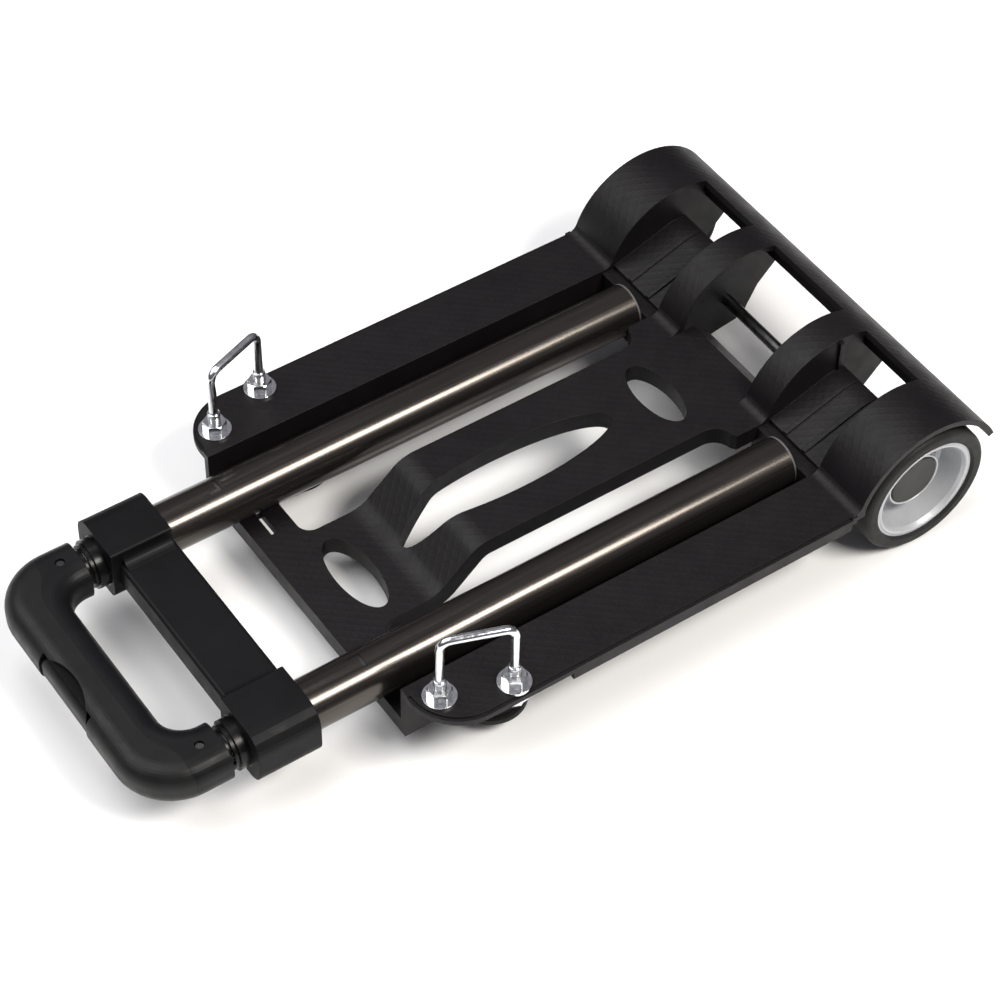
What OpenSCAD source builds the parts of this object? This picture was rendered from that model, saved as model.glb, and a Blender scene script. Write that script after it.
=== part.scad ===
// Compact telescoping hand truck, lying on its wheels and feet.
// +Z is up, +Y runs from the handle to the wheels and +X is the truck's right side.
// The origin is on the floor, under the middle of the truck. Inside the modules, lengths along Y
// are counted from the wheel axle, and place() moves every part to its final position.

/* [Frame] */
// Width across the two side wings
frame_w = 230; // [226:1:236]
// Width of each side wing
wing_w = 32.6; // [31:0.2:34]
// Height of the load deck above the floor
deck_z = 45.5; // [45:0.5:47]
// Distance from the axle to the handle end of the frame
frame_len = 273; // [268:1:290]
// Thickness of the wings
wing_t = 4; // [3.5:0.5:4.5]
// Thickness of the side walls
wall_t = 3.4; // [3:0.2:4]
// Thickness of the centre plate
plate_t = 4.5; // [4:0.5:5.5]
// Half width of the waist of the centre plate
waist_x = 32.5; // [30:0.5:34]

/* [Wheels] */
// Radius of the tyre
wheel_r = 35.3; // [34:0.1:36]
// Width of the tyre
tyre_w = 22; // [18:1:22]
// Radius at which the tyre sits on the rim
rim_r = 28; // [26:0.5:29]
// Diameter of the axle
axle_d = 6; // [5:0.5:8]
// Outer radius of the fenders and the lip, about the axle
fender_r = 42.3; // [41:0.1:44]
// Thickness of the fenders
fender_t = 3; // [2.5:0.25:3.5]

/* [Tubes] */
// Distance from the middle plane to the tubes
tube_x = 61.7; // [60:0.1:63]
// Outside diameter of the fixed tubes
tube_d = 25; // [24:0.5:26]
// Travel of each sliding stage
stage_travel = 220; // [150:5:240]

/* [Handle] */
// Distance from the axle to the far face of the handle
handle_end = 395.8; // [395:0.2:400]
// Thickness of the handle
handle_t = 21.6; // [21:0.2:24]
// Travel of the release button
button_travel = 4; // [2:0.5:4]

/* [Hidden] */
// ---- frame ----
wing_x1 = frame_w / 2;
wing_x0 = wing_x1 - wing_w;
wall_x1 = wing_x0 + wall_t;
frame_y0 = -frame_len;
wing_corner_r = 26;
rail_z0 = 15;
edge_step_w = 1.6;
edge_step_h = 1.2;
housing_y0 = -46;
panel_z = 24.6;
rim_h = panel_z - rail_z0;
rim_t = 2.4;
floor_x0 = 58;
floor_t = 3;
cutout_y0 = frame_y0 + 21.5;
cutout_y1 = -60;
rise_y0 = -228;
rise_angle = 42;
rise_r = 18;
plate_x1 = 43.7;
plate_end_y = -31.5;
skirt_drop = 10.5;
eye_y = -160;
eye_len = 118;
eye_w = 28;
front_hole_y = frame_y0 + 28.5;
front_hole_size = [48, 20];
rear_hole_y = -74;
rear_hole_size = [42, 19];
slot_x0 = 41;
slot_len = 15;
slot_w = 3.2;
rib_t = 2;
rib_h = 8;

// ---- wheel housing ----
lip_a0 = 25.6;
lip_a1 = 68;
foot_a = 166;
fender_x1 = wing_x1 - 1;
arch_x0 = 26.6;
arch_x1 = plate_x1;
web_x = arch_x1 - wall_t;
fillet_r = 6;
saddle_r = 22.5;
saddle_t = 2.5;
saddle_y0 = -39;
saddle_end = 79;
flange_y = 16;
flange_t = 2.4;
flange_z = 65;

// ---- axle and wheels ----
axle_r = axle_d / 2;
tyre_x1 = fender_x1 - 0.1;
tyre_x0 = tyre_x1 - tyre_w;
rim_x0 = tyre_x0 + 1;
rim_x1 = tyre_x1 - 1;
hub_r = 14;
hub_x0 = wall_x1 + 1.6;
hub_x1 = 100.5;
cap_r = 13.5;
axle_x1 = 103;
bush_r = 5.5;
running_fit = 0.05;

// ---- tubes and stages ----
tube_r = tube_d / 2;
tube_z = panel_z + 0.2 + tube_r;
tube_y0 = -343.5;
tube_y1 = housing_y0 - 1;
tube_wall = 1.2;
stage_wall = 0.9;
// Stages A, B and C, from outer to inner: radius, mouth (y0) and inner end (y1)
a_r = 10.3;
b_r = 8.5;
c_r = 6.7;
ring_step = 2.2;
collar_len = 5;
a_y0 = tube_y0 - collar_len - ring_step;
b_y0 = a_y0 - ring_step;
a_y1 = tube_y1 - 16;
b_y1 = a_y1 - 4;
c_y1 = b_y1 - 4;
bush_len = 14;
skirt_len = 20;

// ---- cross housing ----
block_x0 = 47.5;
block_x1 = 79.8;
block_y1 = -312;
block_z0 = 23.5;
block_z1 = 53;
bar_y0 = -339.8;
bar_y1 = -311;
bar_z0 = 31;
bar_z1 = 45;

// ---- handle ----
handle_z = tube_z;
leg_half = 13.3;
handle_x1 = tube_x + leg_half;
handle_y0 = -handle_end;
handle_y1 = b_y0 - 0.2;
grip_y1 = handle_y0 + 27.5;
outer_corner_r = 29;
inner_corner_r = 12;
edge_r = 9;
seam_y = handle_y0 + 16.5;
leg_seam_y = handle_y0 + 24;
cavity_h = 9;
yoke_y0 = handle_y0 + 13;
yoke_t = 6;
seat_depth = 10;
spring_end = handle_y1 - seat_depth - 2.5;
spring_r = 3.7;
button_half = 21;
button_depth = 7.5;
button_lap = 2;
button_sink = 2.5;
rod_r = 2;
pin_r = 1.5;
pin_y = c_y1 - 7;

// ---- fasteners and feet ----
leg_a = [95.5, -261.2];
leg_b = [107, -229.6];
rod_d = 4.2;
thread_d = 6;
bolt_top = 83;
bolt_bend_r = 5;
thread_top = 57.5;
thread_end = 31;
washer_r = 7.9;
washer_t = 1.4;
nut_af = 10;
nut_h = 5;
foot_pos = [83.6, -226.2];
foot_r = 17.5;
foot_base_r = 9;
foot_rim_z = 11;
foot_boss_r = 15;

overall_len = handle_end + fender_r * cos(lip_a0);
axle_y = overall_len / 2 - fender_r * cos(lip_a0);
eps = 0.01;
$fn = 96;

// ---- helpers ----

// Points of an arc about c, from angle a0 to a1
function arc(c, r, a0, a1, n = 8) =
    [for (i = [0:n]) let (a = a0 + (a1 - a0) * i / n) c + r * [cos(a), sin(a)]];

// Points of an ellipse with the given full sizes
function ellipse(size, n = 64) =
    [for (i = [0:n - 1]) let (a = 360 * i / n) [size.x / 2 * cos(a), size.y / 2 * sin(a)]];

// Rectangle with its own radius at each corner: bottom left, bottom right, top right, top left
function rounded_rect(x0, y0, x1, y1, r) = concat(
    arc([x0 + r[0], y0 + r[0]], r[0], 180, 270),
    arc([x1 - r[1], y0 + r[1]], r[1], 270, 360),
    arc([x1 - r[2], y1 - r[2]], r[2], 0, 90),
    arc([x0 + r[3], y1 - r[3]], r[3], 90, 180));

module place() { translate([0, axle_y, 0]) children(); }
module both_sides() {
    children();
    mirror([1, 0, 0]) children();
}
module left() { mirror([1, 0, 0]) children(); }
// A flat shape in Y and Z, extruded from x0 to x1
module along_x(x0, x1) { translate([x0, 0, 0]) rotate([90, 0, 90]) linear_extrude(x1 - x0) children(); }
// A flat shape in X and Z, extruded from y0 to y1
module along_y(y0, y1) { translate([0, y1, 0]) rotate([90, 0, 0]) linear_extrude(y1 - y0) children(); }
module rod_y(r, y0, y1) { translate([0, y0, 0]) rotate([-90, 0, 0]) cylinder(r = r, h = y1 - y0); }
module rod_x(r, x0, x1) { translate([x0, 0, 0]) rotate([0, 90, 0]) cylinder(r = r, h = x1 - x0); }
module pipe_y(r, bore, y0, y1) {
    difference() {
        rod_y(r, y0, y1);
        rod_y(bore, y0 - 1, y1 + 1);
    }
}
// Moves a tube's own axis from the origin to the right tube's place
module at_tube() { translate([tube_x, 0, tube_z]) children(); }
module block(p0, p1) { translate(p0) cube(p1 - p0); }

// Band of a ring about the axle, in Y and Z, between two angles from +Y
module ring_band(r, t, a0, a1) {
    reach = 2 * r;
    mid = (a0 + a1) / 2;
    translate([0, wheel_r]) intersection() {
        difference() {
            circle(r = r, $fn = 180);
            circle(r = r - t, $fn = 180);
        }
        polygon(concat([[0, 0]], [for (a = [a0, mid, a1]) reach * [cos(a), sin(a)]]));
    }
}

// ---- side rails ----

module wing_outline(inset) {
    r = wing_corner_r - inset;
    difference() {
        union() {
            translate([wing_x0, frame_y0 + wing_corner_r])
                square([wing_w - inset, frame_len - wing_corner_r + housing_y0]);
            translate([wing_x0, frame_y0 + inset]) square([wing_w - wing_corner_r, wing_corner_r]);
            translate([wing_x1 - wing_corner_r, frame_y0 + wing_corner_r]) circle(r = r);
        }
        translate([wing_x0 - 50, frame_y0]) square([50, frame_len]);
    }
}

// Foot boss: a full disc under the wall, and its outer part up to the wing
module foot_boss() {
    translate([foot_pos.x, foot_pos.y, 0]) intersection() {
        translate([0, 0, foot_rim_z + 1]) cylinder(r = foot_boss_r, h = deck_z - wing_t - foot_rim_z - 0.5);
        union() {
            translate([-foot_r, -foot_r, 0]) cube([2 * foot_r, 2 * foot_r, rail_z0 + 1]);
            translate([wall_x1 - eps - foot_pos.x, -foot_r, 0]) cube([foot_r, 2 * foot_r, deck_z]);
        }
    }
}

module side_rail() {
    rib_count = 6;
    rib_pitch = (frame_len + housing_y0 - 40) / rib_count;
    bolt_clear = washer_r + 1;
    pilot_r = 2;
    difference() {
        union() {
            translate([0, 0, deck_z - wing_t]) linear_extrude(wing_t) wing_outline(0);
            block([wing_x0, frame_y0, rail_z0], [wall_x1, housing_y0, deck_z - eps]);
            block([floor_x0, cutout_y0, panel_z - floor_t], [wing_x0 + eps, housing_y0, panel_z]);
            // Outer skirt and cross ribs under the wing
            block([wing_x1 - 2, frame_y0 + 70, deck_z - rib_h], [wing_x1, housing_y0, deck_z - 1.5]);
            for (i = [2:rib_count])
                translate([0, frame_y0 + 20 + i * rib_pitch, 0])
                    block([wall_x1 - eps, 0, deck_z - rib_h], [wing_x1 - 1, rib_t, deck_z - 1.5]);
            foot_boss();
        }
        // Step along the outer edge
        translate([0, 0, deck_z - edge_step_h]) linear_extrude(edge_step_h + 1) difference() {
            wing_outline(-1);
            wing_outline(edge_step_w);
            translate([wing_x0 - 1, frame_y0 - 2]) square([wall_t + 3, 8]);
        }
        for (p = [leg_a, leg_b]) {
            translate([p.x, p.y, deck_z - wing_t - 1]) cylinder(r = thread_d / 2 + 0.2, h = wing_t + 2);
            translate([p.x, p.y, deck_z - wing_t - 12]) cylinder(r = bolt_clear, h = 12);
        }
        translate([foot_pos.x, foot_pos.y, 0]) cylinder(r = pilot_r, h = foot_rim_z + 11);
    }
}
module side_rail_right() { color([0.10, 0.10, 0.11]) place() side_rail(); }
module side_rail_left() { color([0.10, 0.10, 0.11]) place() left() side_rail(); }

// ---- centre plate ----

// Line at a given depth below the top of the plate: the low front panel, the rise, and the skirt by the axle
function plate_line(depth) =
    let (rise = deck_z - panel_z,
         slope = (rise - 2 * rise_r * (1 - cos(rise_angle))) / sin(rise_angle),
         run = 2 * rise_r * sin(rise_angle) + slope * cos(rise_angle),
         mitre = depth * tan(22.5),
         skew = depth * cos(45))
    concat([[frame_y0, panel_z - depth]],
        arc([rise_y0, panel_z + rise_r], rise_r + depth, 270, 270 + rise_angle, 10),
        arc([rise_y0 + run, deck_z - rise_r], rise_r - depth, 90 + rise_angle, 90, 10),
        [[plate_end_y - mitre, deck_z - depth],
         [plate_end_y + skirt_drop - skew, deck_z - skirt_drop - skew]]);

module plate_profile(depth) {
    back = plate_line(depth);
    polygon(concat(plate_line(0), [for (i = [len(back) - 1:-1:0]) back[i]]));
}

// Right side of the plan of the plate, from the handle end to the wheels, moved in by an inset
function plate_right_side(inset) =
    let (low_r = 7, high_r = 10)
    concat([[wing_x0 - inset, frame_y0 + inset], [wing_x0 - inset, cutout_y0 - inset]],
        arc([waist_x + low_r, cutout_y0 + low_r], low_r + inset, 270, 180),
        arc([waist_x + high_r, cutout_y1 - high_r], high_r + inset, 180, 100),
        [[plate_x1 - inset, cutout_y1 + 1.5 + inset], [plate_x1 - inset, housing_y0],
         [arch_x0 - inset, housing_y0], [arch_x0 - inset, 0]]);

module plate_outline(inset) {
    right = plate_right_side(inset);
    polygon(concat(right, [for (i = [len(right) - 1:-1:0]) [-right[i].x, right[i].y]]));
}

module plate_holes(grow) {
    edge = [2 * grow, 2 * grow];
    translate([0, front_hole_y]) polygon(ellipse(front_hole_size + edge));
    translate([0, eye_y]) polygon(ellipse([eye_w, eye_len] + edge));
    translate([0, rear_hole_y]) polygon(ellipse(rear_hole_size + edge));
}

module plate_slots() {
    both_sides() translate([slot_x0, frame_y0 + 8.6]) square([slot_len, slot_w]);
}

// Plate with a deep rim under its outline and around its holes
module center_plate() {
    color([0.11, 0.11, 0.12]) place() {
        intersection() {
            along_x(-wing_x0, wing_x0) plate_profile(plate_t);
            linear_extrude(deck_z + 1) difference() {
                plate_outline(0);
                plate_holes(0);
                plate_slots();
            }
        }
        intersection() {
            along_x(-wing_x0, wing_x0) plate_profile(rim_h);
            linear_extrude(deck_z - 1) difference() {
                plate_outline(0);
                difference() {
                    plate_outline(rim_t);
                    plate_holes(rim_t);
                }
                plate_holes(0);
                translate([-wing_x0, housing_y0]) square([2 * wing_x0, -housing_y0 + 1]);
            }
        }
    }
}

// ---- wheel housing ----

// Shell over the whole width, cut open by the windows between the fenders and the arches
module fender_shell() {
    difference() {
        along_x(-fender_x1, fender_x1) ring_band(fender_r, fender_t, lip_a0, foot_a);
        window(-arch_x0, arch_x0);
        both_sides() window(arch_x1, wing_x0);
    }
}
module window(x0, x1) {
    far_side = 190;
    along_x(x0, x1) ring_band(2 * fender_r, 2 * fender_r - hub_r, lip_a1, far_side);
}

// Fillet that blends the foot of a fender or arch into the deck; it stops just short of its tangent point
module foot_fillet() {
    c = [-sqrt(pow(fender_r + fillet_r, 2) - pow(deck_z + fillet_r - wheel_r, 2)), deck_z + fillet_r];
    tangent = atan2(wheel_r - c.y, -c.x);
    end = c + fillet_r * [cos(tangent), sin(tangent)] + [2, -1];
    polygon(concat(
        [[housing_y0, deck_z]],
        arc(c, fillet_r, -90, tangent - 7),
        [end, [end.x, deck_z - wing_t], [housing_y0, deck_z - wing_t]]));
}

// Web that closes the side of an arch or fender, with a sloping rear edge
module web() {
    inside_r = fender_r - fender_t + 0.5;
    low_end = [7, rail_z0 + 3];
    rear_edge = [[12.5, 22.5], [19.3, 36], [29, 46.2], [34.5, 51.5]];
    intersection() {
        union() {
            translate([0, wheel_r]) circle(r = inside_r, $fn = 180);
            translate([housing_y0, rail_z0]) square([-housing_y0, deck_z - rail_z0 - 1]);
        }
        polygon(concat(
            [[housing_y0, rail_z0], [-12, rail_z0], low_end],
            rear_edge,
            [[inside_r, 90], [housing_y0, 90]]));
    }
}

// Cover over the axle beside an arch: a ramp, then an arc about the axle that ends at its crest
module saddle_section(raise, thickness, end) {
    r = saddle_r + raise;
    start = [saddle_y0, deck_z - wheel_r + raise];
    tangent = atan2(start.y, start.x) - acos(r / norm(start));
    translate([0, wheel_r]) polygon(concat(
        [start],
        arc([0, 0], r, tangent, end, 20),
        arc([0, 0], r - thickness, end, tangent, 20),
        [start - [0, thickness + 1]]));
}

module housing_side() {
    rib_places = [arch_x1 + 10, arch_x1 + 24];
    bulkhead_y1 = housing_y0 + 3;
    // Outer fender and its wall
    along_x(wing_x0, fender_x1) foot_fillet();
    block([wing_x0, housing_y0, deck_z - wing_t], [wing_x1, bulkhead_y1, deck_z]);
    along_x(wing_x0, wall_x1) web();
    // Inner arch and its wall
    along_x(arch_x0, arch_x1) foot_fillet();
    block([arch_x0, housing_y0, deck_z - plate_t], [arch_x1, housing_y0 + 9, deck_z]);
    along_x(web_x, arch_x1) web();
    along_x(arch_x1 - eps, arch_x1 + 1.2) crest_rib();
    // Cover over the axle and the bulkhead that the tube stops against
    along_x(arch_x1 - 1, wing_x0 + 1) saddle_section(0, saddle_t, saddle_end);
    for (x = rib_places) along_x(x, x + 2.4) saddle_section(1, 2, saddle_end + 6);
    block([arch_x1 - 1, housing_y0, rail_z0], [wing_x0 + 1, bulkhead_y1, deck_z - 2]);
    block([arch_x1 - 1, housing_y0, deck_z - 5], [wing_x0 + 1, saddle_y0 + 1, deck_z - 2.5]);
}

// Small upright rib on the wall of an arch, at its crest
module crest_rib() {
    translate([-0.7, wheel_r + saddle_r - 1]) square([2.6, fender_r - fender_t - saddle_r + 1.5]);
}

module wheel_housing() {
    color([0.10, 0.10, 0.11]) place() difference() {
        union() {
            fender_shell();
            block([-wing_x0 - 1, flange_y, flange_z], [wing_x0 + 1, flange_y + flange_t, flange_z + 7]);
            both_sides() housing_side();
        }
        translate([0, 0, wheel_r]) rod_x(axle_r + running_fit, -wing_x1, wing_x1);
    }
}

// ---- fixed tubes ----

// Slot on top of each fixed tube, with a clearance all round: a bar across with a leg at one end
module clip_slot(gap) {
    slot_y = frame_y0 - 8;
    translate([-3.5 - gap, slot_y - gap, tube_r - 4]) cube([7 + 2 * gap, 1.6 + 2 * gap, 5]);
    translate([-3.5 - gap, slot_y - 4 - gap, tube_r - 4]) cube([1.8 + 2 * gap, 5 + gap, 5]);
}
module outer_tube() {
    at_tube() difference() {
        pipe_y(tube_r, tube_r - tube_wall, tube_y0, tube_y1);
        clip_slot(0.1);
    }
}
module outer_tube_right() { color([0.16, 0.15, 0.14]) place() outer_tube(); }
module outer_tube_left() { color([0.16, 0.15, 0.14]) place() left() outer_tube(); }

module tube_end_plugs() {
    color([0.07, 0.07, 0.07]) place() both_sides() at_tube() {
        rod_y(tube_r - tube_wall, tube_y1 - 12, tube_y1 + eps);
        rod_y(tube_r, tube_y1, housing_y0);
    }
}

// Key that fills the slot on top of each tube, clear of what slides inside
module tube_clips() {
    top = tube_r - 0.3;
    under = tube_r - tube_wall + running_fit;
    color([0.05, 0.05, 0.05]) place() both_sides() at_tube() intersection() {
        pipe_y(top, under, frame_y0 - 20, frame_y0);
        clip_slot(0);
    }
}

// ---- cross housing ----

module at_block_screws() {
    both_sides() for (x = [block_x0 + 7, block_x1 - 11])
        translate([x, (tube_y0 + block_y1) / 2, block_z0]) children();
}
module cross_housing() {
    section = rounded_rect(block_x0, block_z0, block_x1, block_z1, [5, 9, 10, 1.5]);
    color([0.13, 0.13, 0.14]) place() difference() {
        union() {
            both_sides() along_y(tube_y0, block_y1) polygon(section);
            along_x(-block_x0 - 1, block_x0 + 1)
                polygon(rounded_rect(bar_y0, bar_z0, bar_y1, bar_z1, [1.5, 1.5, 2, 2]));
            // Fillets where the bar runs into the blocks
            both_sides() along_y(bar_y0 + 2, bar_y1 - 2) polygon(concat(
                [[block_x0 + 1, bar_z1 - 1], [block_x0 + 1, block_z1 - 2], [block_x0, block_z1 - 2]],
                arc([block_x0 - 6, block_z1 - 1.5], 6, 0, -90), [[block_x0 - 6, bar_z1 - 1]]));
        }
        both_sides() at_tube() rod_y(tube_r + running_fit, tube_y0 - 1, block_y1 + 1);
        at_block_screws() translate([0, 0, -1]) cylinder(r = 1.6, h = 3.5);
    }
}

module cross_housing_screws() {
    head_h = 1.6;
    color([0.25, 0.25, 0.26]) place() at_block_screws() {
        translate([0, 0, -head_h]) cylinder(r1 = 2, r2 = 3, h = head_h);
        cylinder(r = 1.5, h = 2);
    }
}

module ferrule(outer, bore, skirt, y0, y1) {
    at_tube() {
        pipe_y(outer, bore, y0, y1);
        pipe_y(skirt, bore, y1 - eps, y1 + skirt_len);
    }
}
module outer_ferrules() {
    color([0.05, 0.05, 0.05]) place() both_sides()
        ferrule(tube_r - 0.4, a_r + running_fit, tube_r - tube_wall, tube_y0 - collar_len, tube_y0);
}

// ---- sliding stages ----

module stage_tubes(r, y0, y1) {
    place() both_sides() at_tube() pipe_y(r, r - stage_wall, y0, y1);
}
module stage_ferrules(r, inner_r, y0) {
    place() both_sides() ferrule(r + 0.4, inner_r + running_fit, r - stage_wall, y0 + 0.2, y0 + ring_step);
}
// Guide bush around the inner end of a stage, sliding in the next tube
module stage_bushes(r, guide, y1) {
    place() both_sides() at_tube() {
        pipe_y(guide - running_fit, r, y1 - bush_len, y1);
        rod_y(guide - running_fit, y1, y1 + 1.5);
    }
}

module stage_a_tubes() { color([0.2, 0.2, 0.2]) stage_tubes(a_r, a_y0 + ring_step, a_y1); }
module stage_a_ferrules() { color([0.05, 0.05, 0.05]) stage_ferrules(a_r, b_r, a_y0); }
module stage_a_bushes() { color([0.3, 0.3, 0.3]) stage_bushes(a_r, tube_r - tube_wall, a_y1); }
// The inner stage locks when its pins snap into the holes near this stage's mouth
module stage_b_tubes() {
    color([0.2, 0.2, 0.2]) difference() {
        stage_tubes(b_r, b_y0 + ring_step, b_y1);
        place() both_sides() at_tube() translate([0, pin_y - stage_travel, 0]) rod_x(pin_r + 0.3, 3, b_r + 1);
    }
}
module stage_b_ferrules() { color([0.05, 0.05, 0.05]) stage_ferrules(b_r, c_r, b_y0); }
module stage_b_bushes() { color([0.3, 0.3, 0.3]) stage_bushes(b_r, a_r - stage_wall, b_y1); }

module stage_c_tubes() {
    color([0.2, 0.2, 0.2]) place() both_sides() at_tube() difference() {
        pipe_y(c_r, c_r - stage_wall, handle_y1 - seat_depth, c_y1);
        translate([0, pin_y, 0]) rod_x(pin_r + running_fit, 0, c_r + 1);
    }
}
module stage_c_plugs() {
    guide = b_r - stage_wall - running_fit;
    color([0.3, 0.3, 0.3]) place() both_sides() at_tube() difference() {
        union() {
            pipe_y(guide, c_r, c_y1 - bush_len, c_y1);
            rod_y(c_r - stage_wall, c_y1 - bush_len, c_y1);
            rod_y(guide, c_y1 - eps, c_y1 + 1.5);
        }
        translate([0, pin_y, 0]) rod_x(pin_r + running_fit, -4, guide + 1);
    }
}

module lock_pin() {
    tip = sqrt(pow(b_r - stage_wall, 2) - pow(pin_r, 2)) - 2 * running_fit;
    at_tube() translate([0, pin_y, 0]) rod_x(pin_r, 0.5, tip);
}
module lock_pin_right() { color("silver") place() lock_pin(); }
module lock_pin_left() { color("silver") place() left() lock_pin(); }

// ---- handle ----

// Half of the handle's section: flat at x0, rounded at x1, over the full thickness
module soft_half(x0, x1) {
    half = handle_t / 2;
    dir = x1 > x0 ? 1 : -1;
    c = x1 - dir * edge_r;
    n = 10;
    polygon(concat(
        [[x0, -half]],
        [for (i = [0:n]) [c + dir * edge_r * sin(90 * i / n), edge_r - half - edge_r * cos(90 * i / n)]],
        [for (i = [0:n]) [c + dir * edge_r * cos(90 * i / n), half - edge_r + edge_r * sin(90 * i / n)]],
        [[x0, half]]));
}

// The whole handle as one U, before it is split into grip and core
module handle_solid() {
    outer_c = [handle_x1 - outer_corner_r, handle_y0 + outer_corner_r];
    inner_c = [tube_x - leg_half - inner_corner_r, grip_y1 + inner_corner_r];
    overlap = 1;
    outer_depth = edge_r + 6;
    translate([0, 0, handle_z]) {
        // Bar across the end
        along_x(-outer_c.x, outer_c.x) soft_half(handle_y0 + outer_depth, handle_y0);
        along_x(-inner_c.x, inner_c.x) soft_half(handle_y0 + edge_r + overlap, grip_y1);
        both_sides() {
            // Corner, rounded outside and inside
            translate(outer_c) rotate([0, 0, -90]) rotate_extrude(angle = 90, $fn = 128)
                soft_half(outer_corner_r - outer_depth, outer_corner_r);
            translate(inner_c) rotate([0, 0, -90]) rotate_extrude(angle = 90, $fn = 128)
                soft_half(inner_corner_r + leg_half + edge_r / 2, inner_corner_r);
            // Leg
            along_y(outer_c.y, handle_y1) soft_half(tube_x - overlap, handle_x1);
            along_y(inner_c.y, handle_y1) soft_half(tube_x + overlap, tube_x - leg_half);
        }
    }
}

// Plan of the region that the soft grip covers
module grip_region() {
    polygon(concat(
        [[-100, handle_y0 - 5], [100, handle_y0 - 5], [100, leg_seam_y], [tube_x, leg_seam_y]],
        arc([40, seam_y + 26], 26, 306, 270),
        arc([-40, seam_y + 26], 26, 270, 234),
        [[-tube_x, leg_seam_y], [-100, leg_seam_y]]));
}

// Plan of the button's opening: a segment of a circle cut into the end of the handle
module button_region(gap, depth) {
    half = button_half + gap;
    r = (half * half + depth * depth) / (2 * depth);
    intersection() {
        translate([0, handle_y0 + depth - r]) circle(r = r, $fn = 180);
        translate([-half, handle_y0 - 5]) square([2 * half, 40]);
    }
}

// Slab between two planes: the button is this much thinner than the handle, and slides under its skin
module button_slab(gap) {
    half = handle_t / 2 - button_sink + gap;
    translate([0, 0, handle_z - half]) linear_extrude(2 * half) children();
}

// Space inside the handle for the yoke, the stem of the button and the rods
module handle_cavity() {
    translate([0, 0, handle_z]) {
        half = cavity_h / 2;
        yoke_room = yoke_y0 + yoke_t + button_travel + 0.5;
        block([-tube_x - 6, yoke_y0 - 1, -half], [tube_x + 6, yoke_room, half]);
        block([-button_half, handle_y0 + 4, -half], [button_half, yoke_y0, half]);
    }
    both_sides() at_tube() {
        rod_y(c_r, handle_y1 - seat_depth, handle_y1 + 1);
        rod_y(rod_r + 0.3, yoke_y0 + yoke_t, handle_y1 - seat_depth + 1);
        rod_y(spring_r + 0.9, yoke_y0 + yoke_t, spring_end);
    }
}

module at_handle_screws() {
    both_sides() translate([tube_x, handle_y1 - 9, handle_z + handle_t / 2 - 3]) children();
}

module handle_core() {
    color([0.09, 0.09, 0.10]) place() difference() {
        handle_solid();
        linear_extrude(100) grip_region();
        handle_cavity();
        at_handle_screws() cylinder(r = 2.3, h = 4);
    }
}

module handle_grip() {
    color([0.07, 0.07, 0.08]) place() difference() {
        intersection() {
            handle_solid();
            linear_extrude(100) grip_region();
        }
        handle_cavity();
        linear_extrude(100) button_region(0.3, button_depth);
        button_slab(0.3) translate([0, button_travel]) button_region(0.3, button_depth + button_lap);
    }
}

module handle_screws() { color([0.2, 0.2, 0.2]) place() at_handle_screws() cylinder(r = 2, h = 1.8); }

// ---- release button ----

module push_button() {
    color([0.08, 0.08, 0.09]) place() {
        intersection() {
            translate([0, 0.8, 0]) handle_solid();
            button_slab(0) button_region(0, button_depth + button_lap);
        }
        translate([0, 0, handle_z]) block([-8, handle_y0 + 5, -3], [8, yoke_y0, 3]);
    }
}

module release_yoke() {
    color([0.3, 0.3, 0.32]) place() translate([0, 0, handle_z])
        block([-tube_x - 4, yoke_y0, -3], [tube_x + 4, yoke_y0 + yoke_t, 3]);
}

module push_rods() {
    rod_end = c_y1 - bush_len - button_travel - 1;
    color("silver") place() both_sides() at_tube() rod_y(rod_r, yoke_y0 + yoke_t, rod_end);
}

module button_springs() {
    start = yoke_y0 + yoke_t;
    turns = 5;
    color("silver") place() both_sides() at_tube() translate([0, start, 0]) rotate([-90, 0, 0])
        linear_extrude(spring_end - start, twist = -360 * turns, slices = 20 * turns, $fn = 8)
            translate([spring_r, 0]) circle(r = 0.6);
}

// ---- tie-down U-bolts ----

module u_bolt() {
    span = norm(leg_b - leg_a);
    turn = atan2(leg_b.y - leg_a.y, leg_b.x - leg_a.x);
    rod_r = rod_d / 2;
    bend_z = bolt_top - bolt_bend_r;
    translate([leg_a.x, leg_a.y, 0]) rotate([0, 0, turn]) {
        for (x = [0, span]) {
            translate([x, 0, thread_end]) cylinder(r = thread_d / 2, h = thread_top - thread_end);
            translate([x, 0, thread_top - eps]) cylinder(r = rod_r, h = bend_z - thread_top + 2 * eps);
        }
        translate([0, 0, bolt_top]) rod_x(rod_r, bolt_bend_r - eps, span - bolt_bend_r + eps);
        for (bend = [[bolt_bend_r, 90], [span - bolt_bend_r, 0]])
            translate([bend[0], 0, bend_z]) rotate([90, 0, 0]) rotate([0, 0, bend[1]])
                rotate_extrude(angle = 90) translate([bolt_bend_r, 0]) circle(r = rod_r, $fn = 32);
    }
}
module u_bolt_right() { color([0.78, 0.79, 0.80]) place() u_bolt(); }
module u_bolt_left() { color([0.78, 0.79, 0.80]) place() left() u_bolt(); }

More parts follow.
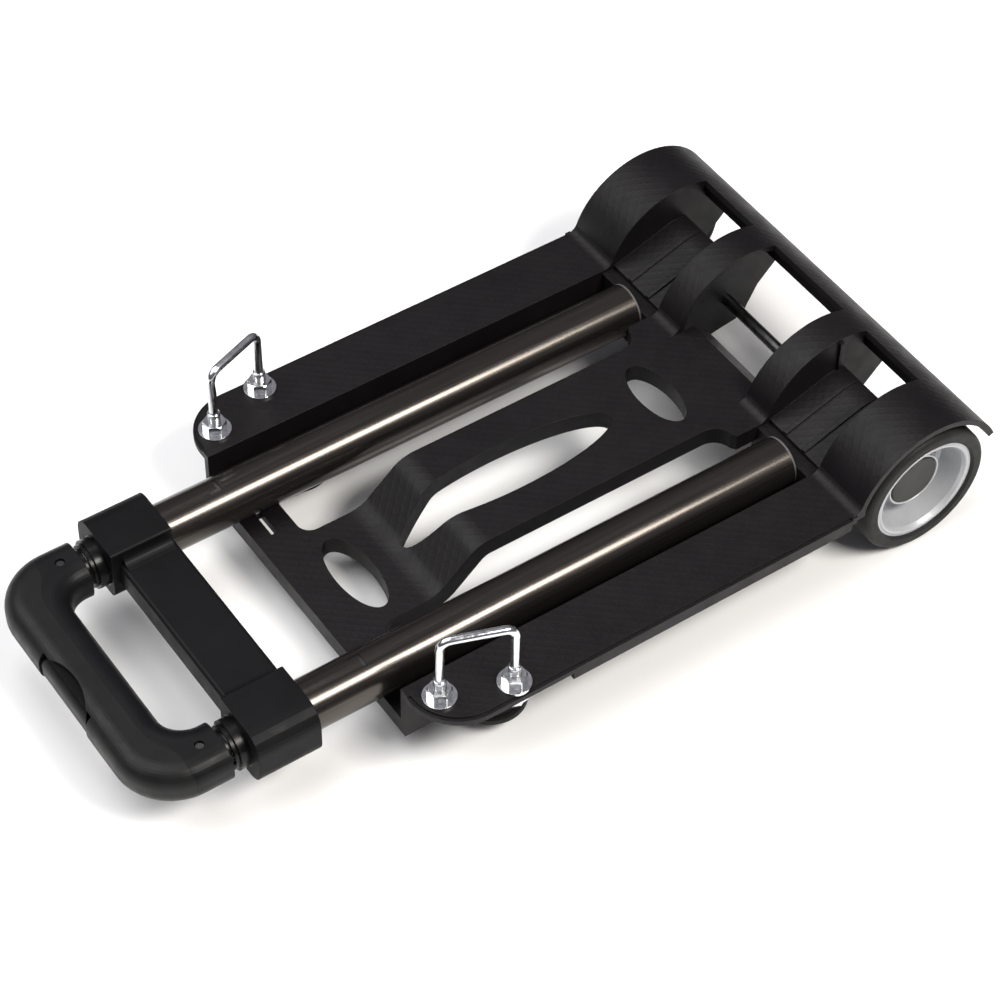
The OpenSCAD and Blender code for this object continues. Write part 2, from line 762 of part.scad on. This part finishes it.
module at_legs(z) { both_sides() for (p = [leg_a, leg_b]) translate([p.x, p.y, z]) children(); }
module washer() {
    difference() {
        cylinder(r = washer_r, h = washer_t);
        translate([0, 0, -1]) cylinder(r = thread_d / 2 + 0.2, h = washer_t + 2);
    }
}
module nut() {
    difference() {
        intersection() {
            cylinder(r = nut_af / 2 / cos(30), h = nut_h, $fn = 6);
            cylinder(r1 = nut_af / 2 + 0.55 + nut_h, r2 = nut_af / 2 + 0.15, h = nut_h);
        }
        translate([0, 0, -1]) cylinder(r = thread_d / 2 + running_fit, h = nut_h + 2);
    }
}
module top_washers() { color([0.75, 0.76, 0.77]) place() at_legs(deck_z) washer(); }
module top_nuts() { color([0.75, 0.76, 0.77]) place() at_legs(deck_z + washer_t) nut(); }
module bottom_washers() { color([0.75, 0.76, 0.77]) place() at_legs(deck_z - wing_t - washer_t) washer(); }
module bottom_nuts() { color([0.75, 0.76, 0.77]) place() at_legs(deck_z - wing_t - washer_t - nut_h) nut(); }

// ---- feet ----

// Rubber foot: widest at its rim, tapering to a flat pad on the floor, with a recess for its screw
module foot() {
    recess_r = 5;
    recess_h = 4;
    screw_clear = 2.2;
    edge = 1.5;
    translate([foot_pos.x, foot_pos.y, 0]) rotate_extrude() polygon([
        [recess_r, 0], [foot_base_r - 0.5, 0], [foot_base_r + 0.5, 0.6], [foot_r - edge, foot_rim_z - 2.5],
        [foot_r, foot_rim_z - 1], [foot_r - 0.5, foot_rim_z + 1], [screw_clear, foot_rim_z + 1],
        [screw_clear, recess_h], [recess_r, recess_h]]);
}
module foot_right() { color([0.06, 0.06, 0.06]) place() foot(); }
module foot_left() { color([0.06, 0.06, 0.06]) place() left() foot(); }
module foot_screws() {
    color([0.6, 0.6, 0.62]) place() both_sides() translate([foot_pos.x, foot_pos.y, 0]) {
        translate([0, 0, 1.8]) cylinder(r = 4.2, h = 2.2);
        translate([0, 0, 4 - eps]) cylinder(r = 1.95, h = 14);
    }
}

// ---- axle and wheels ----

module at_axle() { translate([0, 0, wheel_r]) children(); }

module axle() { color([0.08, 0.08, 0.08]) place() at_axle() rod_x(axle_r, -axle_x1, axle_x1); }
module ring_x(r, bore, x0, x1) {
    difference() {
        rod_x(r, x0, x1);
        rod_x(bore, x0 - 1, x1 + 1);
    }
}
module axle_washers() {
    color([0.7, 0.7, 0.7]) place() both_sides() at_axle()
        ring_x(8, axle_r + running_fit, wall_x1, hub_x0 - 0.2);
}
module axle_clips() {
    color([0.5, 0.5, 0.5]) place() both_sides() at_axle() ring_x(5, axle_r, hub_x1 + 0.6, hub_x1 + 1.6);
}

// Wheel parts are turned about X: a profile of [x, r] points
module turned(points) {
    at_axle() rotate([0, 90, 0]) rotate_extrude() polygon([for (p = points) [p[1], p[0]]]);
}

module tyre() {
    shoulder = 2.8;
    crown = 0.3;
    turned(concat(
        [[tyre_x0 + 1, rim_r]],
        arc([tyre_x0 + shoulder, wheel_r - crown - shoulder], shoulder, 180, 95, 5),
        [[(tyre_x0 + tyre_x1) / 2, wheel_r]],
        arc([tyre_x1 - shoulder, wheel_r - crown - shoulder], shoulder, 85, 0, 5),
        [[tyre_x1, rim_r + 1], [tyre_x1 - 1, rim_r]]));
}
// Dished rim: a hub boss with a recess for its cap, a deep bowl and a rounded outer lip
module rim() {
    lip = 2.8;
    boss_x = hub_x1 + 4.5;
    bowl_x = hub_x0 + 9;
    turned(concat(
        [[rim_x0, rim_r], [rim_x0, rim_r - lip], [bowl_x - 2.5, rim_r - lip - 2], [bowl_x - 2.5, hub_r],
         [hub_x0, hub_r - 2], [hub_x0, bush_r], [hub_x1, bush_r], [hub_x1, cap_r + 0.1],
         [boss_x - 0.4, cap_r + 0.1], [boss_x, cap_r + 0.4], [boss_x, cap_r + 1.1]],
        arc([bowl_x + 6, cap_r + 7.5], 6, 255, 180, 6),
        [[bowl_x + 1.5, rim_r - lip - 2.6], [rim_x1 - 2.5, rim_r - lip - 0.9], [rim_x1 - 0.5, rim_r - lip]],
        arc([rim_x1 - 0.8, rim_r - lip / 2 - 0.5], 0.8, -60, 60, 6),
        [[rim_x1 - 0.5, rim_r]]));
}
module hub_bush() {
    bore = axle_r + running_fit;
    turned([[hub_x0, bush_r], [hub_x0, bore], [hub_x1, bore], [hub_x1, bush_r]]);
}
module hub_cap() {
    top = hub_x1 + 4.8;
    turned([
        [hub_x1, cap_r], [hub_x1, cap_r - 1.5], [top - 1.5, cap_r - 1.5], [top - 1.5, 0],
        [top, 0], [top, cap_r - 0.7], [top - 0.7, cap_r]]);
}
module tyre_right() { color([0.15, 0.15, 0.16]) place() tyre(); }
module rim_right() { color([0.80, 0.81, 0.83]) place() rim(); }
module hub_bush_right() { color([0.3, 0.3, 0.3]) place() hub_bush(); }
module hub_cap_right() { color([0.35, 0.35, 0.37]) place() hub_cap(); }
module tyre_left() { color([0.15, 0.15, 0.16]) place() left() tyre(); }
module rim_left() { color([0.80, 0.81, 0.83]) place() left() rim(); }
module hub_bush_left() { color([0.3, 0.3, 0.3]) place() left() hub_bush(); }
module hub_cap_left() { color([0.35, 0.35, 0.37]) place() left() hub_cap(); }

side_rail_left();
side_rail_right();
center_plate();
wheel_housing();
outer_tube_left();
outer_tube_right();
tube_end_plugs();
tube_clips();
cross_housing();
cross_housing_screws();
outer_ferrules();
stage_a_tubes();
stage_a_ferrules();
stage_a_bushes();
stage_b_tubes();
stage_b_ferrules();
stage_b_bushes();
stage_c_tubes();
stage_c_plugs();
handle_core();
handle_grip();
handle_screws();
push_button();
release_yoke();
push_rods();
button_springs();
lock_pin_left();
lock_pin_right();
u_bolt_left();
u_bolt_right();
top_washers();
top_nuts();
bottom_washers();
bottom_nuts();
foot_left();
foot_right();
foot_screws();
axle();
axle_washers();
axle_clips();
tyre_left();
rim_left();
hub_bush_left();
hub_cap_left();
tyre_right();
rim_right();
hub_bush_right();
hub_cap_right();
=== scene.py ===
"""Looks of the folded hand truck: materials, moulded and machined detail, camera, light and floor.

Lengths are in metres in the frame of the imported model: +Z up, +Y from the handle to the wheels.
"""

import math

import bmesh
import bpy
from mathutils import Matrix, Vector


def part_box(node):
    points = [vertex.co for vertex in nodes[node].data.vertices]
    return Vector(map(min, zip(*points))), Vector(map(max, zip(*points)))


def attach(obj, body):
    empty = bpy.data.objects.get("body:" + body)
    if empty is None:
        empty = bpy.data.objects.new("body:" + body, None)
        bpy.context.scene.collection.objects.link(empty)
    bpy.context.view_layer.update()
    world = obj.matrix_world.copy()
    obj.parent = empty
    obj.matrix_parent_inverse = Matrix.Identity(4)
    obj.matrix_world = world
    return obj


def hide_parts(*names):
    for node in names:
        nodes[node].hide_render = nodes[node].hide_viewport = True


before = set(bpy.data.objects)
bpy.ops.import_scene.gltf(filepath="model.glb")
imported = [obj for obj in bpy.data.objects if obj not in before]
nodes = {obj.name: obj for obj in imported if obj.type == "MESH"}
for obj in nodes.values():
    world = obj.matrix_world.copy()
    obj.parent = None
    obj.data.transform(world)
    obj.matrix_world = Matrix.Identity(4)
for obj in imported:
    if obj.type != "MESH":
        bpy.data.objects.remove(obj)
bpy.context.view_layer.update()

MM = 0.001
EDGE_R = 0.45 * MM


# ---- materials ----

class Surface:
    """One node material: a Principled shader with short helpers for procedural detail."""

    def __init__(self, name, roughness, metallic=0.0):
        self.material = bpy.data.materials.new(name)
        self.material.use_nodes = True
        self.tree = self.material.node_tree
        self.shader = self.tree.nodes["Principled BSDF"]
        self.shader.inputs["Metallic"].default_value = metallic
        self.shader.inputs["Roughness"].default_value = roughness
        self.place = self.add("ShaderNodeTexCoord").outputs["Object"]
        self.normal = None

    def add(self, kind, **settings):
        node = self.tree.nodes.new(kind)
        for key, value in settings.items():
            setattr(node, key, value)
        return node

    def join(self, output, target):
        self.tree.links.new(output, target)

    def compute(self, operation, a, b=0.0):
        node = self.add("ShaderNodeMath", operation=operation)
        for socket, value in zip(node.inputs, (a, b)):
            if isinstance(value, (int, float)):
                socket.default_value = value
            else:
                self.join(value, socket)
        return node.outputs[0]

    def noise(self, size, detail=3.0, stretch=(1, 1, 1)):
        """Noise whose features are about size metres across."""
        mapping = self.add("ShaderNodeMapping")
        mapping.inputs["Scale"].default_value = stretch
        self.join(self.place, mapping.inputs["Vector"])
        node = self.add("ShaderNodeTexNoise")
        node.inputs["Scale"].default_value = 1 / size
        node.inputs["Detail"].default_value = detail
        self.join(mapping.outputs["Vector"], node.inputs["Vector"])
        return node.outputs["Fac"]

    def spread(self, value, low, high, low_in=0.3, high_in=0.7):
        """Maps value from low_in to high_in onto low to high."""
        node = self.add("ShaderNodeMapRange")
        self.join(value, node.inputs["Value"])
        for name, number in (("From Min", low_in), ("From Max", high_in), ("To Min", low), ("To Max", high)):
            node.inputs[name].default_value = number
        return node.outputs["Result"]

    def colours(self, value, *stops):
        """Colour ramp through (position, colour) stops."""
        node = self.add("ShaderNodeValToRGB")
        ramp = node.color_ramp
        while len(ramp.elements) < len(stops):
            ramp.elements.new(0.5)
        for element, (position, colour) in zip(ramp.elements, stops):
            element.position = position
            element.color = (*colour, 1)
        self.join(value, node.inputs["Fac"])
        return node.outputs["Color"]

    def colour(self, output):
        self.join(output, self.shader.inputs["Base Color"])

    def roughness(self, output):
        self.join(output, self.shader.inputs["Roughness"])

    def rounded(self, radius=EDGE_R):
        """Softens edges, as a mould or a tumbling drum does."""
        node = self.add("ShaderNodeBevel", samples=4)
        node.inputs["Radius"].default_value = radius
        self.normal = node.outputs["Normal"]
        self.join(self.normal, self.shader.inputs["Normal"])

    def bump(self, height, depth, strength=1.0):
        node = self.add("ShaderNodeBump")
        node.inputs["Strength"].default_value = strength
        node.inputs["Distance"].default_value = depth
        self.join(height, node.inputs["Height"])
        if self.normal is not None:
            self.join(self.normal, node.inputs["Normal"])
        self.normal = node.outputs["Normal"]
        self.join(self.normal, self.shader.inputs["Normal"])

    def shine(self, level):
        """Strength of the clear reflection on a surface that isn't metal."""
        self.shader.inputs["Specular IOR Level"].default_value = level


# Shares of red, green and blue in an almost grey colour
NEUTRAL = (1, 1, 1)
PLUM = (1.12, 0.92, 1.08)
COOL = (0.97, 0.97, 1.12)
WARM = (1.12, 1.0, 0.9)


def grey(value, tint=NEUTRAL):
    return tuple(value * share for share in tint)


def moulded_black(name, level, rough, grain, grain_depth, tint=NEUTRAL, shine=0.2):
    """Black moulding: cloudy tone and a fine even grain."""
    s = Surface(name, rough)
    cloud = s.noise(40 * MM, 4)
    s.colour(s.colours(cloud, (0.3, grey(level * 0.8, tint)), (0.7, grey(level * 1.25, tint))))
    s.roughness(s.spread(s.noise(9 * MM, 5), rough - 0.05, rough + 0.07))
    s.rounded()
    s.bump(s.noise(grain, 4), grain_depth)
    s.shine(shine)
    return s


def embossed_black():
    """Frame plastic with raised lines that cross at a slant and leave small sunken diamonds."""
    pitch_x, pitch_y = 5.1 * MM, 5.95 * MM
    line_height = 0.07 * MM
    steep, flat = 0.35, 0.6
    s = moulded_black("frame_embossed_black", 0.0045, 0.46, 0.35 * MM, 0.015 * MM, PLUM)
    split = s.add("ShaderNodeSeparateXYZ")
    s.join(s.place, split.inputs[0])
    across = s.compute("MULTIPLY", split.outputs["X"], math.tau / pitch_x)
    along = s.compute("MULTIPLY", split.outputs["Y"], math.tau / pitch_y)
    first = s.compute("COSINE", s.compute("ADD", across, along))
    second = s.compute("COSINE", s.compute("SUBTRACT", across, along))
    ridges = s.spread(s.compute("MAXIMUM", first, second), 0, 1, 0.1, 0.85)
    # The lines fade out from flat faces to steep ones, by how far the normal points up or down
    facing = s.add("ShaderNodeSeparateXYZ")
    s.join(s.add("ShaderNodeTexCoord").outputs["Normal"], facing.inputs[0])
    level = s.spread(s.compute("ABSOLUTE", facing.outputs["Z"]), 0, 1, steep, flat)
    s.bump(s.compute("MULTIPLY", ridges, level), line_height, strength=0.6)
    return s


def anodised_black():
    """Black anodised tube, drawn along its length."""
    s = Surface("tube_anodised_black", 0.2, 0.9)
    lines = s.noise(1.2 * MM, 3, (1, 0.02, 1))
    s.colour(s.colours(lines, (0.3, grey(0.055, WARM)), (0.7, grey(0.075, WARM))))
    s.roughness(s.spread(lines, 0.17, 0.24))
    s.bump(lines, 0.006 * MM)
    return s


def zinc():
    """Bright zinc plate with faint cloudiness and small scratches."""
    s = Surface("zinc_plate", 0.16, 1.0)
    s.colour(s.colours(s.noise(3 * MM, 5), (0.3, (0.62, 0.64, 0.67)), (0.7, (0.82, 0.83, 0.84))))
    s.roughness(s.spread(s.noise(1.5 * MM, 6), 0.1, 0.26))
    s.rounded(0.25 * MM)
    s.bump(s.noise(0.5 * MM, 3), 0.01 * MM)
    return s


def plain_metal(name, low, high, rough):
    s = Surface(name, rough, 1.0)
    s.colour(s.colours(s.noise(4 * MM, 4), (0.3, grey(low)), (0.7, grey(high))))
    s.roughness(s.spread(s.noise(1.2 * MM, 4), rough - 0.06, rough + 0.08))
    s.rounded(0.2 * MM)
    return s


def rubber(name, level, rough, shine):
    """Rubber: dusty, with a fine pebbled skin."""
    s = Surface(name, rough)
    dust = s.noise(14 * MM, 6)
    s.colour(s.colours(dust, (0.35, grey(level)), (0.75, grey(level * 1.6))))
    s.roughness(s.spread(s.noise(5 * MM, 4), rough - 0.06, rough + 0.08))
    s.rounded()
    s.bump(s.noise(0.5 * MM, 4), 0.03 * MM)
    s.shine(shine)
    return s


def silver_plastic():
    """Silver-grey moulding with metal flake."""
    s = Surface("rim_silver", 0.38, 0.35)
    flake = s.noise(0.25 * MM, 2)
    s.colour(s.colours(flake, (0.35, (0.40, 0.41, 0.43)), (0.65, (0.52, 0.53, 0.55))))
    s.roughness(s.spread(s.noise(6 * MM, 4), 0.32, 0.44))
    s.rounded(0.3 * MM)
    s.bump(s.noise(0.4 * MM, 2), 0.008 * MM)
    return s


embossed = embossed_black()
housing = moulded_black("housing_black", 0.005, 0.42, 0.3 * MM, 0.015 * MM, COOL, 0.1)
core = moulded_black("handle_core_black", 0.0055, 0.38, 0.3 * MM, 0.015 * MM, COOL, 0.15)
grip = rubber("grip_soft_black", 0.0045, 0.42, 0.21)
button = moulded_black("button_black", 0.004, 0.34, 0.3 * MM, 0.012 * MM, COOL, 0.09)
ferrule = moulded_black("ferrule_black", 0.004, 0.26, 0.6 * MM, 0.008 * MM)
bush = moulded_black("bush_grey", 0.09, 0.45, 0.5 * MM, 0.01 * MM)
foot = rubber("foot_rubber", 0.008, 0.6, 0.25)
tyre = rubber("tyre_grey", 0.013, 0.5, 0.13)
cap = moulded_black("hub_cap_grey", 0.03, 0.42, 0.3 * MM, 0.015 * MM)
rim = silver_plastic()
tube = anodised_black()
zinc_plate = zinc()
dark_steel = plain_metal("dark_steel", 0.05, 0.1, 0.35)
stage_metal = plain_metal("stage_aluminium", 0.32, 0.42, 0.3)
spring_steel = plain_metal("spring_steel", 0.45, 0.6, 0.28)

MATERIALS = {
    embossed: ("side_rail_left", "side_rail_right", "center_plate", "wheel_housing"),
    housing: ("cross_housing",),
    core: ("handle_core",),
    grip: ("handle_grip",),
    button: ("push_button",),
    ferrule: ("outer_ferrules", "stage_a_ferrules", "stage_b_ferrules"),
    bush: ("tube_end_plugs", "stage_a_bushes", "stage_b_bushes", "stage_c_plugs", "release_yoke",
           "hub_bush_left", "hub_bush_right"),
    foot: ("foot_left", "foot_right"),
    tyre: ("tyre_left", "tyre_right"),
    cap: ("hub_cap_left", "hub_cap_right"),
    rim: ("rim_left", "rim_right"),
    tube: ("outer_tube_left", "outer_tube_right"),
    zinc_plate: ("u_bolt_left", "u_bolt_right", "top_washers", "top_nuts", "bottom_washers",
                 "bottom_nuts", "foot_screws", "axle_washers"),
    dark_steel: ("tube_clips", "cross_housing_screws", "handle_screws", "axle"),
    stage_metal: ("stage_a_tubes", "stage_b_tubes", "stage_c_tubes"),
    spring_steel: ("push_rods", "button_springs", "lock_pin_left", "lock_pin_right", "axle_clips"),
}
for surface, names in MATERIALS.items():
    for node_name in names:
        nodes[node_name].data.materials.clear()
        nodes[node_name].data.materials.append(surface.material)


# ---- threaded U-bolts ----

ROD_R = 2.1 * MM
THREAD_R = 3.0 * MM
THREAD_DEPTH = 0.55 * MM
THREAD_PITCH = 1.0 * MM
THREAD_TOP = 57.5 * MM
RUN_OUT = 2.5 * MM
# Share of the full thread depth that is left at the top of the run-out
RUN_OUT_SHARE = 0.2
END_CHAMFER = 0.8 * MM
# Height above the thread that keeps the thread's close rings, for the taper down to the rod
SHOULDER = 2.0 * MM
BEND_R = 5.0 * MM
RING_POINTS = 28
RINGS_PER_TURN = 8


def thread_radius(z, turn, bottom):
    """Radius of the bolt at height z and at a share of a turn: thread, run-out, then plain rod."""
    if z > THREAD_TOP:
        return max(ROD_R, THREAD_R - THREAD_DEPTH - (z - THREAD_TOP))
    wave = abs(2 * ((z / THREAD_PITCH - turn) % 1) - 1)
    cut = THREAD_DEPTH * min(1, (THREAD_TOP - z) / RUN_OUT + RUN_OUT_SHARE)
    chamfer = max(0, END_CHAMFER - (z - bottom))
    return THREAD_R - max(cut * wave, chamfer)


def bolt_path(foot_a, foot_b, bottom, top):
    """Points and directions along the bolt's axis: up one leg, across and down the other."""
    across = (foot_b - foot_a).normalized()
    up = Vector((0, 0, 1))
    step = THREAD_PITCH / RINGS_PER_TURN
    count = round((THREAD_TOP + SHOULDER - bottom) / step)
    heights = [bottom + i * step for i in range(count + 1)] + [top - BEND_R]
    bend = [math.radians(a) for a in range(10, 91, 10)]
    path = [(foot_a + up * z, up) for z in heights]
    centre = foot_a + across * BEND_R + up * (top - BEND_R)
    path += [(centre + BEND_R * (up * math.sin(a) - across * math.cos(a)),
              across * math.sin(a) + up * math.cos(a)) for a in bend]
    centre = foot_b - across * BEND_R + up * (top - BEND_R)
    path += [(centre + BEND_R * (across * math.sin(a) + up * math.cos(a)),
              across * math.cos(a) - up * math.sin(a)) for a in [0.0] + bend]
    path += [(foot_b + up * z, -up) for z in reversed(heights[:-1])]
    return path


def make_u_bolt(node, side):
    """Bent rod with a thread on both legs; side is 1 on the right and -1 on the left."""
    low, high = (Vector(corner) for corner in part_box(node))
    near, far = (high.x, low.x) if side < 0 else (low.x, high.x)
    foot_a = Vector((near + side * THREAD_R, low.y + THREAD_R, 0))
    foot_b = Vector((far - side * THREAD_R, high.y - THREAD_R, 0))
    sideways = (foot_b - foot_a).normalized().cross(Vector((0, 0, 1)))
    shape = bmesh.new()
    rings = []
    for centre, ahead in bolt_path(foot_a, foot_b, low.z, high.z - ROD_R):
        out = ahead.cross(sideways)
        hand = math.copysign(1, ahead.z)
        ring = []
        for i in range(RING_POINTS):
            turn = i / RING_POINTS
            angle = math.tau * turn
            radius = thread_radius(centre.z, hand * turn, low.z)
            spot = centre + radius * (sideways * math.cos(angle) + out * math.sin(angle))
            ring.append(shape.verts.new(spot))
        rings.append(ring)
    for ring, after in zip(rings, rings[1:]):
        for i in range(RING_POINTS):
            j = (i + 1) % RING_POINTS
            shape.faces.new((ring[i], ring[j], after[j], after[i])).smooth = True
    shape.faces.new(reversed(rings[0]))
    shape.faces.new(rings[-1])
    bmesh.ops.recalc_face_normals(shape, faces=shape.faces)
    mesh = bpy.data.meshes.new(node + "_threaded")
    shape.to_mesh(mesh)
    shape.free()
    mesh.materials.append(zinc_plate.material)
    bolt = bpy.data.objects.new(node + "_threaded", mesh)
    bpy.context.scene.collection.objects.link(bolt)
    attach(bolt, "base")
    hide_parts(node)


make_u_bolt("u_bolt_right", 1)
make_u_bolt("u_bolt_left", -1)


# ---- floor, light and camera ----

FLOOR_HALF = 1.3


def make_floor():
    mesh = bpy.data.meshes.new("floor")
    corners = [(x * FLOOR_HALF, y * FLOOR_HALF, 0) for x, y in ((-1, -1), (1, -1), (1, 1), (-1, 1))]
    mesh.from_pydata(corners, [], [(0, 1, 2, 3)])
    floor = bpy.data.objects.new("floor", mesh)
    bpy.context.scene.collection.objects.link(floor)
    s = Surface("floor_white", 0.55)
    s.colour(s.colours(s.noise(0.4, 3), (0.3, grey(0.90)), (0.7, grey(0.93))))
    s.roughness(s.spread(s.noise(0.05, 3), 0.5, 0.6))
    mesh.materials.append(s.material)


def make_world():
    """Studio: dim walls and a brighter ceiling light the object, in front of a pale backdrop."""
    walls = (0.08, 0.08, 0.09, 1)
    ceiling = (0.26, 0.25, 0.27, 1)
    pale = (0.9, 0.9, 0.9, 1)
    world = bpy.data.worlds.new("studio")
    bpy.context.scene.world = world
    world.use_nodes = True
    tree = world.node_tree
    direction = tree.nodes.new("ShaderNodeTexCoord")
    split = tree.nodes.new("ShaderNodeSeparateXYZ")
    ramp = tree.nodes.new("ShaderNodeValToRGB")
    tree.links.new(direction.outputs["Generated"], split.inputs[0])
    tree.links.new(split.outputs["Z"], ramp.inputs["Fac"])
    ramp.color_ramp.elements[0].position = 0.2
    ramp.color_ramp.elements[0].color = walls
    ramp.color_ramp.elements[1].position = 0.7
    ramp.color_ramp.elements[1].color = ceiling
    room = tree.nodes["Background"]
    tree.links.new(ramp.outputs["Color"], room.inputs["Color"])
    backdrop = tree.nodes.new("ShaderNodeBackground")
    backdrop.inputs["Color"].default_value = pale
    path = tree.nodes.new("ShaderNodeLightPath")
    mix = tree.nodes.new("ShaderNodeMixShader")
    tree.links.new(path.outputs["Is Camera Ray"], mix.inputs["Fac"])
    tree.links.new(room.outputs["Background"], mix.inputs[1])
    tree.links.new(backdrop.outputs["Background"], mix.inputs[2])
    tree.links.new(mix.outputs["Shader"], tree.nodes["World Output"].inputs["Surface"])


def area_light(name, place, size, power, colour=(1, 1, 1)):
    """Rectangular lamp that points at the origin, on the floor under the middle of the object."""
    data = bpy.data.lights.new(name, "AREA")
    data.shape = "RECTANGLE"
    data.size, data.size_y = size
    data.energy = power
    data.color = colour
    light = bpy.data.objects.new(name, data)
    bpy.context.scene.collection.objects.link(light)
    light.location = place
    light.rotation_mode = "QUATERNION"
    light.rotation_quaternion = (-Vector(place)).to_track_quat("-Z", "Y")


def make_lights():
    area_light("key", place=(1.12, 0.46, 1.56), size=(0.85, 0.5), power=40, colour=(1.0, 0.97, 0.91))
    area_light("fill", place=(-0.7, -1.0, 2.2), size=(2.6, 2.6), power=75)


def make_camera():
    """A long lens from the front right, 48 degrees up and rolled slightly."""
    target = Vector((15.3, 4.25, 45.7)) * MM
    distance = 1367 * MM
    azimuth, elevation, roll = (math.radians(a) for a in (54.73, 48.20, 1.243))
    back = Vector((math.sin(azimuth) * math.cos(elevation),
                   -math.cos(azimuth) * math.cos(elevation), math.sin(elevation)))
    right = (-back).cross(Vector((0, 0, 1))).normalized()
    up = right.cross(-back)
    side = right * math.cos(roll) + up * math.sin(roll)
    top = up * math.cos(roll) - right * math.sin(roll)
    data = bpy.data.cameras.new("camera")
    data.sensor_width = 36
    data.lens = 106.7
    camera = bpy.data.objects.new("camera", data)
    bpy.context.scene.collection.objects.link(camera)
    place = target + back * distance
    camera.matrix_world = Matrix.Translation(place) @ Matrix((side, top, back)).transposed().to_4x4()
    bpy.context.scene.camera = camera


make_floor()
make_world()
make_lights()
make_camera()
bpy.context.scene.view_settings.view_transform = "Standard"
